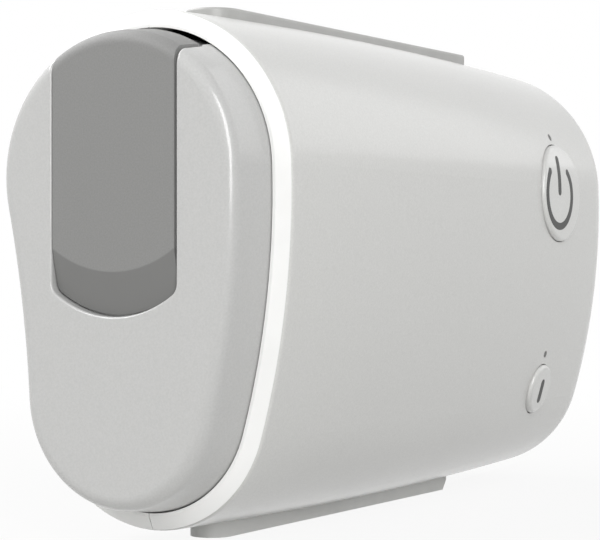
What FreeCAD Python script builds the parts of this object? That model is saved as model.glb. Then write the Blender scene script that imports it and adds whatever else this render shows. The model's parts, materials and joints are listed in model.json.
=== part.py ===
"""Travel CPAP machine: a bean-section housing that stands on its narrow side.

Millimetres.  +Z is up, -Y is the side with the buttons, -X the end with the filter door and
+X the end with the air outlet.  The origin is at the bottom centre of the whole machine.
"""
import FreeCAD, Part
import math
import os
import re
import Sketcher
from FreeCAD import Placement, Rotation, Vector

# Driving dimensions.  Each one is set by itself.
SIZES = [
    # housing: four lobes joined by a bulging front and a hollow rear
    ("housing_length", "127.25"),
    ("housing_height", "81.2"),
    ("top_front_radius", "25.6"),
    ("top_rear_radius", "26.4"),
    ("bottom_front_radius", "21.2"),
    ("bottom_rear_radius", "21.9"),
    ("front_arc_radius", "131"),
    ("rear_arc_radius", "179"),
    ("shell_wall", "1.8"),
    ("near_crown", "0.8"),
    ("far_crown", "1.6"),
    ("widest_station", "51.25"),
    ("near_edge_radius", "0.8"),
    ("far_edge_radius", "8.8"),
    ("fit_gap", "0.1"),
    ("seam_gap", "0.15"),
    # rim round the near end
    ("rim_thickness", "1.0"),
    ("rim_outer_inset", "1.0"),
    ("rim_face_inset", "3.1"),
    ("rim_inner_inset", "3.6"),
    ("rim_spigot", "3.0"),
    # end cap and its door
    ("cap_height", "8.75"),
    ("cap_inset", "4.9"),
    ("cap_gap", "0.2"),
    ("cap_edge_radius", "2.2"),
    ("cap_wall", "3.9"),
    ("cap_flange", "1.5"),
    ("air_slot_width", "22"),
    ("air_slot_depth", "0.9"),
    ("door_width", "22.2"),
    ("door_length", "42.3"),
    ("door_shift", "0.55"),
    ("door_bottom_radius", "18.2"),
    ("door_corner_radius", "1.8"),
    ("door_thickness", "2.1"),
    ("door_hook", "6.4"),
    ("door_gap", "0.3"),
    ("recess_edge_radius", "0.4"),
    ("tongue_width", "0.6"),
    ("tongue_thickness", "0.4"),
    ("tongue_length", "22"),
    ("tongue_rise", "9.5"),
    ("tongue_gap", "0.1"),
    ("scoop_radius", "19.3"),
    ("scoop_rise", "6.4"),
    ("scoop_slope", "0.25"),
    # filter behind the door
    ("filter_width", "16"),
    ("filter_height", "25"),
    ("filter_thickness", "4.5"),
    ("filter_drop", "8.3"),
    ("frame_wall", "1.2"),
    ("grille_bar", "1.0"),
    ("grille_count", "5"),
    # rails
    ("rail_sink", "0.8"),
    ("top_rail_height", "1.0"),
    ("top_rail_start", "13.65"),
    ("top_rail_length", "86.2"),
    ("top_rail_width", "9.3"),
    ("bottom_rail_height", "1.8"),
    ("bottom_rail_start", "14.05"),
    ("bottom_rail_length", "80.3"),
    ("bottom_rail_width", "7.0"),
    ("rail_end_slant", "1.5"),
    ("rail_edge_radius", "0.5"),
    # buttons and lamps on the front
    ("button_setback", "28"),
    ("button_proud", "0.8"),
    ("button_edge_radius", "0.7"),
    ("button_gap", "0.15"),
    ("button_travel", "0.5"),
    ("collar_wall", "1.6"),
    ("flange_width", "1.2"),
    ("flange_thickness", "1.0"),
    ("stem_radius", "1.8"),
    ("start_button_radius", "9.1"),
    ("start_button_drop", "26.3"),
    ("start_seat", "19.9"),
    ("start_switch_height", "3.0"),
    ("link_button_radius", "4.6"),
    ("link_button_rise", "17.8"),
    ("link_seat", "15.6"),
    ("link_switch_height", "2.0"),
    ("switch_width", "6"),
    ("plunger_radius", "1.5"),
    ("plunger_proud", "0.7"),
    ("plunger_depth", "0.9"),
    ("plunger_gap", "0.05"),
    ("lamp_radius", "0.6"),
    ("lamp_flange_radius", "1.5"),
    ("lamp_clearance", "0.5"),
    ("start_lamp_drop", "15.7"),
    ("link_lamp_rise", "24.4"),
    ("led_width", "1.6"),
    ("led_height", "0.8"),
    # board
    ("board_front", "11.6"),
    ("board_thickness", "1.2"),
    ("board_length", "36"),
    ("board_setback", "17.8"),
    ("board_rise", "12"),
    ("board_drop", "8.8"),
    ("board_hole_inset", "4"),
    ("board_hole_rise", "13"),
    ("boss_radius", "2.6"),
    ("screw_radius", "1.0"),
    ("screw_head_radius", "1.9"),
    ("screw_head_height", "1.4"),
    ("screw_length", "5"),
    # on the board's rear: insets are from its near edge, rises from its lower edge to a
    # chip's, the drop from its upper edge to the plug's lower one
    ("processor_inset", "12"),
    ("processor_rise", "30"),
    ("processor_width", "9"),
    ("processor_height", "9"),
    ("processor_thickness", "1.2"),
    ("driver_inset", "26"),
    ("driver_rise", "34"),
    ("driver_width", "6"),
    ("driver_height", "6"),
    ("driver_thickness", "1.2"),
    ("regulator_inset", "34"),
    ("regulator_rise", "12"),
    ("regulator_width", "7"),
    ("regulator_height", "5"),
    ("regulator_thickness", "2.0"),
    ("radio_inset", "12"),
    ("radio_rise", "12"),
    ("radio_width", "8"),
    ("radio_height", "10"),
    ("radio_thickness", "1.5"),
    ("motor_plug_inset", "26"),
    ("motor_plug_drop", "14.4"),
    ("motor_plug_width", "9"),
    ("motor_plug_height", "4"),
    ("motor_plug_thickness", "2.6"),
    ("capacitor_radius", "2.6"),
    ("capacitor_height", "2.4"),
    ("capacitor_setback", "5"),
    ("capacitor_rise", "34"),
    ("capacitor_pitch", "7"),
    # outlet end
    ("end_inset", "11.5"),
    ("end_plate_thickness", "2.0"),
    ("end_recess", "0.4"),
    ("end_flange", "1.2"),
    ("port_radius", "11"),
    ("port_depth", "14"),
    ("port_wall", "1.5"),
    ("port_step", "2.5"),
    ("hose_radius", "5.5"),
    ("hose_wall", "1.5"),
    ("nipple_length", "5"),
    ("socket_width", "14.5"),
    ("socket_height", "9.4"),
    ("socket_depth", "12"),
    ("socket_wall", "1.5"),
    ("socket_floor", "2.5"),
    ("socket_rise", "21.2"),
    ("contact_width", "1.4"),
    ("contact_thickness", "0.6"),
    ("contact_spacing", "3.2"),
    # blower
    ("blower_start", "29.25"),
    ("scroll_front_depth", "11"),
    ("scroll_rear_depth", "10"),
    ("scroll_wall", "1.4"),
    ("scroll_radius", "15.8"),
    ("scroll_step", "1.4"),
    ("eye_radius", "7.5"),
    ("eye_collar", "1.6"),
    ("eye_collar_length", "6"),
    ("stub_side", "10.9"),
    ("stub_drop", "21.5"),
    ("stub_length", "6"),
    ("channel_half_width", "7.2"),
    ("impeller_radius", "14.2"),
    ("impeller_clearance", "1.6"),
    ("impeller_plate", "1.0"),
    ("impeller_hub_radius", "3.6"),
    ("blade_count", "11"),
    ("blade_thickness", "0.8"),
    ("blade_inner_radius", "7"),
    ("blade_arc_radius", "9.5"),
    ("blade_sweep", "45"),
    ("blade_front_height", "6"),
    ("shaft_radius", "1.5"),
    ("shaft_gap", "0.03"),
    ("bearing_radius", "4"),
    ("bearing_width", "3"),
    ("bearing_seat_wall", "1.2"),
    ("motor_radius", "11"),
    ("motor_length", "20"),
    ("motor_wall", "1.0"),
    ("magnet_radius", "4.6"),
    ("magnet_length", "11"),
    ("air_gap", "0.4"),
    ("tooth_count", "6"),
    ("tooth_width", "2.0"),
    ("stator_yoke", "1.5"),
    ("winding_thickness", "1.0"),
    ("mount_width", "3.5"),
    ("mount_length", "5"),
    ("cradle_wall", "2.0"),
    ("cradle_web_height", "18"),
    # silencer between filter and blower
    ("bulkhead_thickness", "1.6"),
    ("foam_length", "9"),
    ("foam_gap", "0.3"),
    ("foam_bore", "9"),
]

# Places that follow from the sizes, written once for every piece that lies there.
PLACES = {
    "near_face": "-(cap_height + housing_length) / 2",
    "rim_face": "near_face + cap_height",
    "far_face": "(cap_height + housing_length) / 2",
    "shell_start": "rim_face + rim_thickness",
    "crown_station": "rim_face + widest_station",
    "parting": "(top_front_radius - top_rear_radius) / 2",
    "floor_z": "bottom_rail_height",
    "mid_z": "floor_z + housing_height / 2",
    "roof_z": "floor_z + housing_height",
    "top_z": "roof_z + top_rail_height",
    "axis_z": "roof_z - top_front_radius",
    "inner_near": "near_crown + shell_wall",
    "flange_start": "shell_start + rim_spigot",
    "cap_top": "roof_z - cap_inset",
    "cap_foot": "rim_inner_inset + cap_gap",
    "hook_end": "near_face + door_hook",
    "door_y": "parting + door_shift",
    "door_low": "cap_top - door_length",
    "door_floor": "near_face + door_thickness + door_gap",
    "filter_top": "cap_top - filter_drop",
    "filter_low": "filter_top - filter_height",
    "filter_front": "door_floor",
    "button_x": "far_face - button_setback",
    "start_z": "roof_z - start_button_drop",
    "link_z": "floor_z + link_button_rise",
    "start_lamp_z": "roof_z - start_lamp_drop",
    "link_lamp_z": "floor_z + link_lamp_rise",
    "board_y": "parting - board_front",
    "board_end": "far_face - board_setback",
    "board_low": "floor_z + board_rise",
    "board_height": "housing_height - board_rise - board_drop",
    "motor_plug_rise": "board_height - motor_plug_drop",
    "end_face": "far_face - end_recess",
    "end_seat": "far_face - shell_wall",
    "port_floor": "end_face - port_depth",
    "port_end": "port_floor - port_step",
    "socket_z": "floor_z + socket_rise",
    "blower_x": "rim_face + blower_start",
    "split_x": "blower_x + scroll_front_depth",
    "scroll_end": "split_x + scroll_rear_depth",
    "stub_y": "parting + stub_side",
    "stub_z": "axis_z - stub_drop",
    "impeller_back": "scroll_end - scroll_wall - impeller_clearance",
    "motor_end": "scroll_end + motor_length",
    "magnet_start": "(scroll_end + motor_end - magnet_length) / 2",
    "bulkhead_x": "blower_x - eye_collar_length",
}

WORDS = {alias for alias, _ in SIZES}

CHIPS = ("processor", "driver", "regulator", "radio", "motor_plug")
CAPACITOR_STEPS = ("0", "1")         # pitches above the lowest one
BUTTONS = (("start", "start_z", "start_lamp_z"), ("link", "link_z", "link_lamp_z"))
LAMPS = (("start_lamp", "start_lamp_z"), ("link_lamp", "link_lamp_z"))

SAME = 0.01                          # two places nearer than this are one

doc = FreeCAD.newDocument("travel_cpap")
sheet = doc.addObject("Spreadsheet::Sheet", "sizes")
for row, (alias, number) in enumerate(SIZES, start=1):
    sheet.set("A%d" % row, number)
    sheet.setAlias("A%d" % row, alias)
doc.recompute()


# --- sizes into features -----------------------------------------------------------------

def formula(text):
    """An expression on the sheet, with every place written out in sizes."""
    def swap(match):
        word = match.group(0)
        if word in PLACES:
            return "(" + formula(PLACES[word]) + ")"
        return "sizes." + word if word in WORDS else word
    return re.sub(r"[a-z_]+", swap, text)


def value(text):
    """The present value of an expression, for geometry that a sketch starts from."""
    return float(sheet.evalExpression(formula(text)))


def bind(item, **texts):
    """Tie properties to expressions; two underscores stand for a dot."""
    for name, text in texts.items():
        item.setExpression(name.replace("__", "."), formula(text))
    return item


def place(item, x, y, z):
    """Tie the position of an item."""
    return bind(item, Placement__Base__x=x, Placement__Base__y=y, Placement__Base__z=z)


def tie(sketch, kind, *arguments):
    """Add a dimension to a sketch: the last argument is its expression."""
    *where, text = arguments
    index = sketch.addConstraint(Sketcher.Constraint(kind, *where, value(text)))
    sketch.setExpression("Constraints[%d]" % index, formula(text))


def outline(sketch, corners):
    """Closed outline through corners (u, v).

    A corner with two more entries, a radius and a side, is reached along an arc whose centre
    lies left (+1) or right (-1) of the way there.
    """
    points = [Vector(value(corner[0]), value(corner[1]), 0) for corner in corners]
    ends = []
    for index, corner in enumerate(corners):
        start, end = points[index - 1], points[index]
        if len(corner) == 2:
            sketch.addGeometry(Part.LineSegment(start, end), False)
            ends.append((1, 2))
            continue
        radius, side = value(corner[2]), corner[3]
        way = end - start
        off = math.sqrt(radius ** 2 - way.Length ** 2 / 4)
        centre = (start + end) / 2 + Vector(-way.y, way.x, 0).normalize() * (side * off)
        first, last = (start, end) if side > 0 else (end, start)
        begin = math.atan2(first.y - centre.y, first.x - centre.x)
        finish = math.atan2(last.y - centre.y, last.x - centre.x)
        if finish < begin:
            finish += 2 * math.pi
        circle = Part.Circle(centre, Vector(0, 0, 1), radius)
        sketch.addGeometry(Part.ArcOfCircle(circle, begin, finish), False)
        ends.append((1, 2) if side > 0 else (2, 1))
    count = len(corners)
    for index, corner in enumerate(corners):
        after = (index + 1) % count
        joint = Sketcher.Constraint("Coincident", index, ends[index][1], after, ends[after][0])
        sketch.addConstraint(joint)
        tie(sketch, "DistanceX", -1, 1, index, ends[index][1], corner[0])
        tie(sketch, "DistanceY", -1, 1, index, ends[index][1], corner[1])
        if len(corner) == 4:
            tie(sketch, "Radius", index, corner[2])
    return sketch


def rounds(sketch, *radii):
    """Circles about the sketch's origin."""
    for radius in radii:
        circle = Part.Circle(Vector(), Vector(0, 0, 1), value(radius))
        index = sketch.addGeometry(circle, False)
        sketch.addConstraint(Sketcher.Constraint("Coincident", index, 3, -1, 1))
        tie(sketch, "Radius", index, radius)
    return sketch


def rectangle(sketch, width, height):
    """Rectangle centred on the sketch's origin."""
    half_width, half_height = "(%s) / 2" % width, "(%s) / 2" % height
    return outline(sketch, [
        ("-" + half_width, "-" + half_height),
        (half_width, "-" + half_height),
        (half_width, half_height),
        ("-" + half_width, half_height),
    ])


# --- Part features -----------------------------------------------------------------------

TURNS = {
    "X": Rotation(Vector(1, 1, 1), 120),       # sketch u, v, normal along Y, Z, X
    "Y": Rotation(Vector(1, 0, 0), 90),        # along X, Z, -Y
    "Z": Rotation(),                           # along X, Y, Z
}

AXES = {"X": Rotation(Vector(0, 1, 0), 90), "Y": Rotation(Vector(1, 0, 0), -90), "Z": Rotation()}


def free_sketch(name, normal, x, y, z):
    """Sketch outside a body, square to X, Y or Z, with its origin at x, y, z."""
    sketch = doc.addObject("Sketcher::SketchObject", name)
    sketch.Placement = Placement(Vector(), TURNS[normal])
    return place(sketch, x, y, z)


def bean(name, x, inset):
    """Housing section at x, moved in by inset: six arcs that run into each other.

    The four lobe centres lie on the parting plane.  The front arc holds both front lobes
    inside it, and the rear arc touches both rear lobes from outside.
    """
    sketch = free_sketch(name, "X", x, "parting", "mid_z")
    half = "housing_height / 2 - (%s)" % inset
    less = " - (%s)" % inset
    lobes = {}
    for side in ("front", "rear"):
        top = value("top_%s_radius" % side + less)
        bottom = value("bottom_%s_radius" % side + less)
        lobes[side] = (value(half) - top, top, bottom - value(half), bottom)
    front = value("front_arc_radius" + less)
    rear = value("rear_arc_radius + (%s)" % inset)

    def middle(side, top_reach, bottom_reach, way):
        """Centre of the long arc, at top_reach and bottom_reach from the lobes' centres."""
        high, _, low, _ = lobes[side]
        span = high - low
        along = (top_reach ** 2 - bottom_reach ** 2 + span ** 2) / (2 * span)
        return Vector(way * math.sqrt(top_reach ** 2 - along ** 2), high - along, 0)

    front_centre = middle("front", front - lobes["front"][1], front - lobes["front"][3], 1)
    rear_centre = middle("rear", rear + lobes["rear"][1], rear + lobes["rear"][3], 1)

    def towards(start, end, reach):
        return start + (end - start).normalize() * reach

    def sweep(centre, radius, start, end):
        circle = Part.Circle(centre, Vector(0, 0, 1), radius)
        begin = math.atan2(start.y - centre.y, start.x - centre.x)
        finish = math.atan2(end.y - centre.y, end.x - centre.x)
        if finish < begin:
            finish += 2 * math.pi
        return Part.ArcOfCircle(circle, begin, finish)

    top_point, low_point = Vector(0, value(half), 0), Vector(0, -value(half), 0)
    centres = {}
    for side in ("front", "rear"):
        high, _, low, _ = lobes[side]
        centres[side] = (Vector(0, high, 0), Vector(0, low, 0))
    front_high = towards(front_centre, centres["front"][0], front)
    front_low = towards(front_centre, centres["front"][1], front)
    rear_high = towards(centres["rear"][0], rear_centre, lobes["rear"][1])
    rear_low = towards(centres["rear"][1], rear_centre, lobes["rear"][3])
    sketch.addGeometry([
        sweep(centres["front"][0], lobes["front"][1], top_point, front_high),
        sweep(front_centre, front, front_high, front_low),
        sweep(centres["front"][1], lobes["front"][3], front_low, low_point),
        sweep(centres["rear"][1], lobes["rear"][3], low_point, rear_low),
        sweep(rear_centre, rear, rear_high, rear_low),
        sweep(centres["rear"][0], lobes["rear"][1], rear_high, top_point),
    ], False)
    joints = [
        ("Tangent", 0, 2, 1, 1), ("Tangent", 1, 2, 2, 1), ("Coincident", 2, 2, 3, 1),
        ("Tangent", 3, 2, 4, 2), ("Tangent", 4, 1, 5, 1), ("Coincident", 5, 2, 0, 1),
        ("PointOnObject", 0, 3, -2), ("PointOnObject", 2, 3, -2),
        ("PointOnObject", 3, 3, -2), ("PointOnObject", 5, 3, -2),
        ("PointOnObject", 0, 1, -2), ("PointOnObject", 2, 2, -2),
    ]
    sketch.addConstraint([Sketcher.Constraint(*joint) for joint in joints])
    tie(sketch, "Radius", 0, "top_front_radius" + less)
    tie(sketch, "Radius", 1, "front_arc_radius" + less)
    tie(sketch, "Radius", 2, "bottom_front_radius" + less)
    tie(sketch, "Radius", 3, "bottom_rear_radius" + less)
    tie(sketch, "Radius", 4, "rear_arc_radius + (%s)" % inset)
    tie(sketch, "Radius", 5, "top_rear_radius" + less)
    tie(sketch, "DistanceY", -1, 1, 0, 1, half)
    tie(sketch, "DistanceY", 2, 2, -1, 1, half)
    return sketch


def extrude(name, sketch, length):
    """Solid of a free sketch, along its normal."""
    solid = doc.addObject("Part::Extrusion", name)
    solid.Base = sketch
    solid.DirMode = "Normal"
    solid.Solid = True
    return bind(solid, LengthFwd=length)


def bean_bar(name, start, end, inset):
    """Straight bar of the housing's section from x = start to x = end."""
    return extrude(name, bean(name + "_section", start, inset), "(%s) - (%s)" % (end, start))


def loft(name, stations):
    """Solid through housing sections at (x, inset)."""
    solid = doc.addObject("Part::Loft", name)
    solid.Sections = [
        bean("%s_section_%d" % (name, index), x, inset)
        for index, (x, inset) in enumerate(stations, start=1)
    ]
    solid.Solid = True
    return solid


def housing_form(name, start, end, inset):
    """The crowned housing moved in by inset, from x = start to x = end."""
    return loft(name, [
        (start, "near_crown + (%s)" % inset),
        ("crown_station", inset),
        (end, "far_crown + (%s)" % inset),
    ])


def block(name, low, size):
    solid = doc.addObject("Part::Box", name)
    bind(solid, Length=size[0], Width=size[1], Height=size[2])
    return place(solid, *low)


def rod(name, along, start, radius, length):
    """Cylinder that starts at a point and runs along +X, +Y or +Z."""
    solid = doc.addObject("Part::Cylinder", name)
    solid.Placement = Placement(Vector(), AXES[along])
    bind(solid, Radius=radius, Height=length)
    return place(solid, *start)


def join(name, *solids):
    whole = doc.addObject("Part::MultiFuse", name)
    whole.Shapes = list(solids)
    return whole


def cut(name, base, *tools):
    result = doc.addObject("Part::Cut", name)
    result.Base = base
    result.Tool = tools[0] if len(tools) == 1 else join(name + "_tools", *tools)
    return result


def common(name, first, second):
    result = doc.addObject("Part::Common", name)
    result.Base = first
    result.Tool = second
    return result


def round_edges(name, base, choose):
    """Fillet: choose(edge) gives an edge's radius, or 0 to leave it."""
    doc.recompute()
    result = doc.addObject("Part::Fillet", name)
    result.Base = base
    radii = [(index, choose(edge)) for index, edge in enumerate(base.Shape.Edges, start=1)]
    result.Edges = [(index, radius, radius) for index, radius in radii if radius > 0]
    return result


def at_x(edge, x):
    """True for an edge that lies wholly in the plane at x."""
    box = edge.BoundBox
    return abs(box.XMin - x) < SAME and abs(box.XMax - x) < SAME


# --- PartDesign features -----------------------------------------------------------------

def new_body(name):
    body = doc.addObject("PartDesign::Body", name)
    body.Label = name
    return body


def body_sketch(body, name, normal, x, y, z):
    """Sketch on one of the body's origin planes, moved so that its origin is at x, y, z."""
    role, shift = {
        "X": ("YZ_Plane", (y, z, x)),
        "Y": ("XZ_Plane", (x, z, "-(%s)" % y)),
        "Z": ("XY_Plane", (x, y, z)),
    }[normal]
    sketch = body.newObject("Sketcher::SketchObject", name)
    plane = next(item for item in body.Origin.OriginFeatures if item.Role == role)
    sketch.AttachmentSupport = [(plane, "")]
    sketch.MapMode = "FlatFace"
    for letter, text in zip("xyz", shift):
        sketch.setExpression("AttachmentOffset.Base." + letter, formula(text))
    return sketch


def pad(body, sketch, length, back=False):
    feature = body.newObject("PartDesign::Pad", sketch.Name + "_pad")
    feature.Profile = sketch
    feature.Reversed = back
    return bind(feature, Length=length)


def pocket(body, sketch, length, back=False):
    """Cut along the sketch's normal, or against it with back."""
    feature = body.newObject("PartDesign::Pocket", sketch.Name + "_pocket")
    feature.Profile = sketch
    feature.Reversed = not back
    return bind(feature, Length=length)


def turned(body, name, x, corners, y="parting", z="axis_z"):
    """Revolve corners (distance from x, radius) about a line along X at y, z."""
    sketch = outline(body_sketch(body, name, "Y", x, y, z), corners)
    feature = body.newObject("PartDesign::Revolution", name + "_turn")
    feature.Profile = sketch
    feature.ReferenceAxis = (sketch, ["H_Axis"])
    feature.Angle = 360
    return feature


def around(body, feature, sketch, count):
    """Repeat a feature about the normal of a sketch whose origin is on the axis."""
    doc.recompute()
    pattern = body.newObject("PartDesign::PolarPattern", feature.Name + "_pattern")
    pattern.Originals = [feature]
    pattern.Axis = (sketch, ["N_Axis"])
    pattern.Angle = 360
    bind(pattern, Occurrences=count)
    body.Tip = pattern
    return pattern


# --- housing -----------------------------------------------------------------------------

def housing_blanks():
    """Outer form, inner form and the far opening, shared by both shells."""
    outer_loft = housing_form("outer_loft", "shell_start", "far_face", "0")
    near, far = value("shell_start"), value("far_face")
    near_radius, far_radius = value("near_edge_radius"), value("far_edge_radius")

    def outer_radius(edge):
        return far_radius if at_x(edge, far) else near_radius if at_x(edge, near) else 0

    outer = round_edges("outer_form", outer_loft, outer_radius)
    inner_loft = housing_form("inner_loft", "rim_face", "end_seat", "shell_wall")
    inner_end, inner_radius = value("end_seat"), value("far_edge_radius - shell_wall")
    inner = round_edges(
        "inner_form", inner_loft, lambda edge: inner_radius if at_x(edge, inner_end) else 0)
    opening = bean_bar("end_opening", "end_seat - shell_wall", "far_face + shell_wall", "end_inset")
    return outer, cut("housing_skin", outer, inner, opening)


def half_space(name, front):
    """Everything in front of the parting plane, or behind it, half the seam away."""
    depth = "top_front_radius + top_rear_radius"
    start = "parting - (%s) - seam_gap / 2" % depth if front else "parting + seam_gap / 2"
    return block(name, ("near_face", start, "-floor_z"),
                 ("far_face - near_face", depth, "top_z + floor_z * 2"))


def rails():
    """Top and bottom grip strips: flat outside, round at the near end, seated in the shells."""
    edge_radius, top = value("rail_edge_radius"), value("top_z")

    def top_edge(edge):
        box = edge.BoundBox
        return edge_radius if abs(box.ZMin - top) < SAME and abs(box.ZMax - top) < SAME else 0

    seat = housing_form("rail_seat", "shell_start", "far_face", "rail_sink")
    result = []
    for name, low, high in (("top_rail", "mid_z", "top_z"), ("bottom_rail", "0", "mid_z")):
        half, width = name + "_width / 2", name + "_width"
        tip = "rim_face + %s_start" % name
        begin, end = "%s + %s" % (tip, half), "%s + %s_length" % (tip, name)
        corners = [(begin, low), (end, low), (end, high), (begin, high)]
        if name == "bottom_rail":
            corners[1:2] = [(end + " - rail_end_slant", low), (end, "floor_z")]
        sketch = free_sketch(name + "_side", "Y", "0", "parting + " + half, "0")
        bar = extrude(name + "_bar", outline(sketch, corners), width)
        nose = rod(name + "_nose", "Z", (begin, "parting", low), half, "(%s) - (%s)" % (high, low))
        blank = join(name + "_blank", bar, nose)
        blank.Refine = True
        if name == "top_rail":
            blank = round_edges("top_rail_rounded", blank, top_edge)
        result.append(cut(name, blank, seat))
    return result


def board_holes():
    """The four screw places of the board, as (x, z)."""
    near, far = "board_end - board_length + board_hole_inset", "board_end - board_hole_inset"
    low, high = "board_low + board_hole_inset", "board_low + board_height - board_hole_inset"
    return [(near, low), (near, high), (far, "link_z + board_hole_rise"), (far, high)]


def front_shell(outer, skin, rail_parts):
    """Front half: button collars, lamp holes and the board's bosses."""
    half = common("front_half", skin, half_space("front_space", True))
    depth = "top_front_radius * 2"
    added, removed = [], list(rail_parts)
    for name, z, _ in BUTTONS:
        hole = "%s_button_radius + button_gap" % name
        start = ("button_x", "parting - %s_seat - %s" % (name, depth), z)
        collar = rod(name + "_collar_rod", "Y", start, hole + " + collar_wall", depth)
        added.append(common(name + "_collar", collar, outer))
        removed.append(rod(name + "_hole", "Y", start, hole, depth + " + button_gap"))
    for index, (x, z) in enumerate(board_holes(), start=1):
        start = (x, "board_y - " + depth, z)
        boss = rod("board_boss_rod_%d" % index, "Y", start, "boss_radius", depth)
        added.append(common("board_boss_%d" % index, boss, outer))
        hole = (x, "board_y - screw_length", z)
        removed.append(rod("board_pilot_%d" % index, "Y", hole, "screw_radius", "screw_length"))
    for name, z in LAMPS:
        start = ("button_x", "board_y - " + depth, z)
        removed.append(rod(name + "_hole", "Y", start, "lamp_radius + plunger_gap", depth))
    return cut("front_shell", join("front_shell_solid", half, *added), *removed)


def rear_shell(outer, skin, rail_parts):
    """Rear half, with the cradle that holds the motor's rear mount."""
    half = common("rear_half", skin, half_space("rear_space", False))
    bore = "motor_radius + mount_width"
    start = ("motor_end - mount_length", "parting", "axis_z")
    ring = rod("cradle_ring", "X", start, bore + " + cradle_wall", "mount_length")
    web = block("cradle_web", (start[0], "parting", "axis_z - cradle_web_height / 2"),
                ("mount_length", "top_rear_radius", "cradle_web_height"))
    seat = rod("cradle_seat", "X", start, bore, "mount_length")
    cradle = cut("cradle", common("cradle_inside", join("cradle_blank", ring, web), outer), seat)
    return cut("rear_shell", join("rear_shell_solid", half, cradle), *rail_parts)


def rims():
    """White lip of the near end: a bevelled ring with a spigot in the shells' mouth."""
    bevel = loft("rim_bevel", [("rim_face", "rim_face_inset"), ("shell_start", "rim_outer_inset")])
    spigot = bean_bar("rim_spigot_bar", "shell_start", "flange_start", "inner_near + fit_gap")
    bore = bean_bar("rim_bore", "near_face", "flange_start + rim_spigot", "rim_inner_inset")
    ring = cut("rim_ring", join("rim_solid", bevel, spigot), bore)
    return (common("front_rim", ring, half_space("front_rim_space", True)),
            common("rear_rim", ring, half_space("rear_rim_space", False)))


# --- end cap, door and filter ------------------------------------------------------------

def door_prism(name, start, end, grow):
    """The door's outline moved out by grow, as a prism along X."""
    sketch = free_sketch(name + "_outline", "X", start, "door_y", "cap_top")
    half = "door_width / 2 + (%s)" % grow
    radius = "door_bottom_radius + (%s)" % grow
    centre = "door_bottom_radius - door_length"
    side = "%s - sqrt((%s)^2 - (%s)^2)" % (centre, radius, half)
    outline(sketch, [
        ("-(%s)" % half, "cap_inset"),
        ("-(%s)" % half, side),
        (half, side, radius, 1),
        (half, "cap_inset"),
    ])
    prism = extrude(name + "_sharp", sketch, "(%s) - (%s)" % (end, start))
    corner, low = value("door_corner_radius + (%s)" % grow), value("cap_top + " + side)

    def bottom_corner(edge):
        box = edge.BoundBox
        along_x = box.XLength > SAME and box.YLength < SAME and box.ZLength < SAME
        return corner if along_x and abs(box.ZMin - low) < SAME else 0

    return round_edges(name, prism, bottom_corner)


def cap_form(name, start, inward):
    """The cap's drafted outer form moved in, from x = start to the rim's face."""
    return loft(name, [(start, "cap_inset + (%s)" % inward), ("rim_face", "cap_foot + (%s)" % inward)])


def end_cap(form):
    """Raised bean plate with the door's recess, its grooves and the filter window."""
    core = cap_form("recess_core", "door_floor", "door_thickness + door_gap")
    prism = door_prism("recess_prism", "near_face - door_gap", "hook_end + door_gap", "door_gap")
    face, edge_radius = value("near_face"), value("recess_edge_radius")
    left, right = value("door_y - door_width / 2"), value("door_y + door_width / 2")
    reach = value("door_gap") + SAME

    def recess_edge(edge):
        box = edge.BoundBox
        inside = left - reach < box.YMin and box.YMax < right + reach
        return edge_radius if inside and at_x(edge, face) else 0

    raised = cut("cap_raised", form, cut("door_recess", prism, core))
    foot = bean_bar("cap_foot_bar", "rim_face", "flange_start", "cap_foot")
    flange = bean_bar("cap_flange_bar", "flange_start", "flange_start + cap_flange",
                      "inner_near + fit_gap")
    solid = join("cap_solid", round_edges("cap_rounded", raised, recess_edge), foot, flange)
    hollow = bean_bar("cap_hollow", "near_face + cap_wall", "flange_start + cap_flange * 2",
                      "cap_inset + cap_wall")
    grooves = tongues("groove", "tongue_gap", "door_gap", "door_low + tongue_rise - tongue_gap",
                      "top_z")
    window = block("filter_window",
                   ("near_face", "parting - filter_width / 2 - fit_gap", "filter_low - fit_gap"),
                   ("cap_wall * 2", "filter_width + 2 * fit_gap", "filter_height + 2 * fit_gap"))
    slot_end = "flange_start + cap_flange * 2"
    slot = cut("air_slot",
               bean_bar("air_slot_outer", "hook_end", slot_end, "rim_inner_inset"),
               bean_bar("air_slot_inner", "hook_end", slot_end, "cap_foot + air_slot_depth"))
    slot_space = block("air_slot_space",
                       ("hook_end + door_gap", "parting - air_slot_width / 2", "axis_z"),
                       ("cap_height * 2", "air_slot_width", "top_front_radius"))
    return cut("end_cap", solid, hollow, grooves, window, common("air_slots", slot, slot_space))


def tongues(name, grow, reach, low, high):
    """The two strips along the door's sides, or their grooves when grown."""
    thick = "tongue_thickness + 2 * (%s)" % grow
    wide = "door_width / 2 + tongue_width + (%s)" % grow
    x = "door_floor - door_gap - tongue_thickness - (%s)" % grow
    inner = "door_width / 2 - (%s)" % reach
    width = "(%s) - (%s)" % (wide, inner)
    left = block(name + "_left", (x, "door_y - (%s)" % wide, low),
                 (thick, width, "(%s) - (%s)" % (high, low)))
    right = block(name + "_right", (x, "door_y + (%s)" % inner, low),
                  (thick, width, "(%s) - (%s)" % (high, low)))
    return join(name + "_pair", left, right)


def filter_door(form):
    """Sliding cover: follows the cap's face and hooks over its top edge."""
    core = cap_form("door_core", "near_face + door_thickness", "door_thickness")
    prism = door_prism("door_prism", "near_face - door_gap", "hook_end", "0")
    plate = cut("door_plate", common("door_skin", form, prism), core)
    low = "door_low + tongue_rise"
    strips = tongues("tongue", "0", "tongue_width", low, low + " + tongue_length")
    return cut("filter_door", join("door_solid", plate, strips), finger_scoop())


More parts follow.
